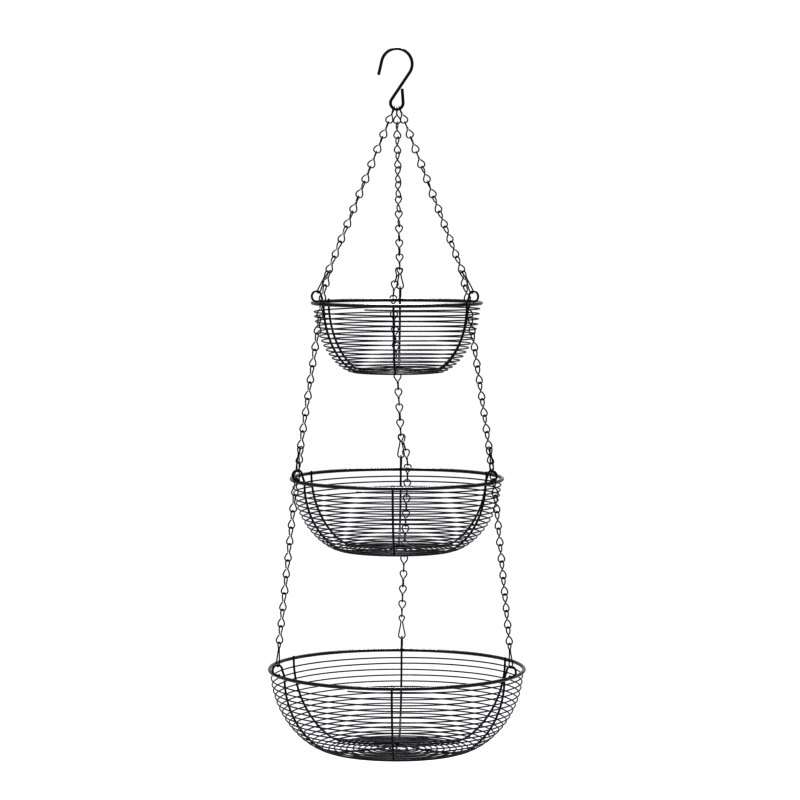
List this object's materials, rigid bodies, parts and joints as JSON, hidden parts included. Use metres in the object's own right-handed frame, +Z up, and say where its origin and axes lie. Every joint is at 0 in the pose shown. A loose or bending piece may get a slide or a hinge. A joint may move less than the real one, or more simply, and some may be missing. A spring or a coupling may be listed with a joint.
{
  "type": "three-tier hanging wire basket",
  "caption": "Hanging wire produce basket: round wire baskets growing in size downwards on jack-chain strands below an S-shaped hook.",
  "frame": {"origin": "the hanging point, on the underside of the S-hook's upper bend, on the axis of the baskets", "axes": "+Z up along the common axis of the baskets, +X to the right in the plane of the S-hook, front towards -Y; the back eye of each basket is at +Y"},
  "size_m": [0.326, 0.338, 0.8846],
  "materials": {
    "rim_paint": "satin black powder coat",
    "basket_wire_paint": "satin black powder coat",
    "chain_paint": "semi-gloss black enamel",
    "hook_paint": "semi-gloss black enamel"
  },
  "bodies": {
    "hook": {"s_hook": "hook_paint"},
    "top_tier": {"hook_link_back": "chain_paint", "hook_link_left": "chain_paint", "hook_link_right": "chain_paint", "top_chain_back": "chain_paint", "top_chain_left": "chain_paint", "top_chain_right": "chain_paint", "top_clip_back": "chain_paint", "top_clip_left": "chain_paint", "top_clip_right": "chain_paint", "middle_lead_chain_back": "chain_paint", "middle_lead_chain_left": "chain_paint", "middle_lead_chain_right": "chain_paint", "top_rim": "rim_paint", "top_spiral_wire": "basket_wire_paint", "top_rib_back": "basket_wire_paint", "top_rib_left": "basket_wire_paint", "top_rib_right": "basket_wire_paint"},
    "middle_strand_back": {"middle_chain_back": "chain_paint"},
    "middle_strand_left": {"middle_chain_left": "chain_paint"},
    "middle_strand_right": {"middle_chain_right": "chain_paint"},
    "middle_basket": {"middle_clip_back": "chain_paint", "middle_clip_left": "chain_paint", "middle_clip_right": "chain_paint", "bottom_lead_chain_back": "chain_paint", "bottom_lead_chain_left": "chain_paint", "bottom_lead_chain_right": "chain_paint", "middle_rim": "rim_paint", "middle_spiral_wire": "basket_wire_paint", "middle_rib_back": "basket_wire_paint", "middle_rib_left": "basket_wire_paint", "middle_rib_right": "basket_wire_paint"},
    "bottom_strand_back": {"bottom_chain_back": "chain_paint"},
    "bottom_strand_left": {"bottom_chain_left": "chain_paint"},
    "bottom_strand_right": {"bottom_chain_right": "chain_paint"},
    "bottom_basket": {"bottom_clip_back": "chain_paint", "bottom_clip_left": "chain_paint", "bottom_clip_right": "chain_paint", "bottom_rim": "rim_paint", "bottom_spiral_wire": "basket_wire_paint", "bottom_rib_back": "basket_wire_paint", "bottom_rib_left": "basket_wire_paint", "bottom_rib_right": "basket_wire_paint"}
  },
  "joints": [
    {"name": "tiers_swing", "type": "hinge", "parent": "hook", "child": "top_tier", "pos_m": [0, 0, -0.0737], "axis": [1, 0, 0], "range_deg": [-12, 12]},
    {"name": "middle_sway_back", "type": "hinge", "parent": "top_tier", "child": "middle_strand_back", "pos_m": [-0.00821, 0.1121, -0.33115], "axis": [0, 1, 0], "range_deg": [-8, 8]},
    {"name": "middle_sway_left", "type": "hinge", "parent": "top_tier", "child": "middle_strand_left", "pos_m": [-0.09298, -0.06316, -0.33115], "axis": [0, 1, 0], "range_deg": [-8, 8]},
    {"name": "middle_sway_right", "type": "hinge", "parent": "top_tier", "child": "middle_strand_right", "pos_m": [0.09298, -0.06316, -0.33115], "axis": [0, 1, 0], "range_deg": [-8, 8]},
    {"name": "middle_basket_level", "type": "hinge", "parent": "middle_strand_back", "child": "middle_basket", "pos_m": [0, 0.1349, -0.49324], "axis": [0.0509, 0.9987, 0], "range_deg": [-8, 8]},
    {"name": "bottom_sway_back", "type": "hinge", "parent": "middle_basket", "child": "bottom_strand_back", "pos_m": [0.00832, 0.13902, -0.55194], "axis": [0, 1, 0], "range_deg": [-8, 8]},
    {"name": "bottom_sway_left", "type": "hinge", "parent": "middle_basket", "child": "bottom_strand_left", "pos_m": [-0.12455, -0.06231, -0.55194], "axis": [0, 1, 0], "range_deg": [-8, 8]},
    {"name": "bottom_sway_right", "type": "hinge", "parent": "middle_basket", "child": "bottom_strand_right", "pos_m": [0.12455, -0.06231, -0.55194], "axis": [0, 1, 0], "range_deg": [-8, 8]},
    {"name": "bottom_basket_level", "type": "hinge", "parent": "bottom_strand_back", "child": "bottom_basket", "pos_m": [0, 0.1646, -0.73447], "axis": [-0.0385, 0.9993, 0], "range_deg": [-8, 8]}
  ],
  "couplings": [
    {"joint": "middle_sway_left", "follows": "middle_sway_back", "ratio": 1},
    {"joint": "middle_sway_right", "follows": "middle_sway_back", "ratio": 1},
    {"joint": "middle_basket_level", "follows": "middle_sway_back", "ratio": -0.7969},
    {"joint": "bottom_sway_left", "follows": "bottom_sway_back", "ratio": 1},
    {"joint": "bottom_sway_right", "follows": "bottom_sway_back", "ratio": 1},
    {"joint": "bottom_basket_level", "follows": "bottom_sway_back", "ratio": -0.8744}
  ]
}
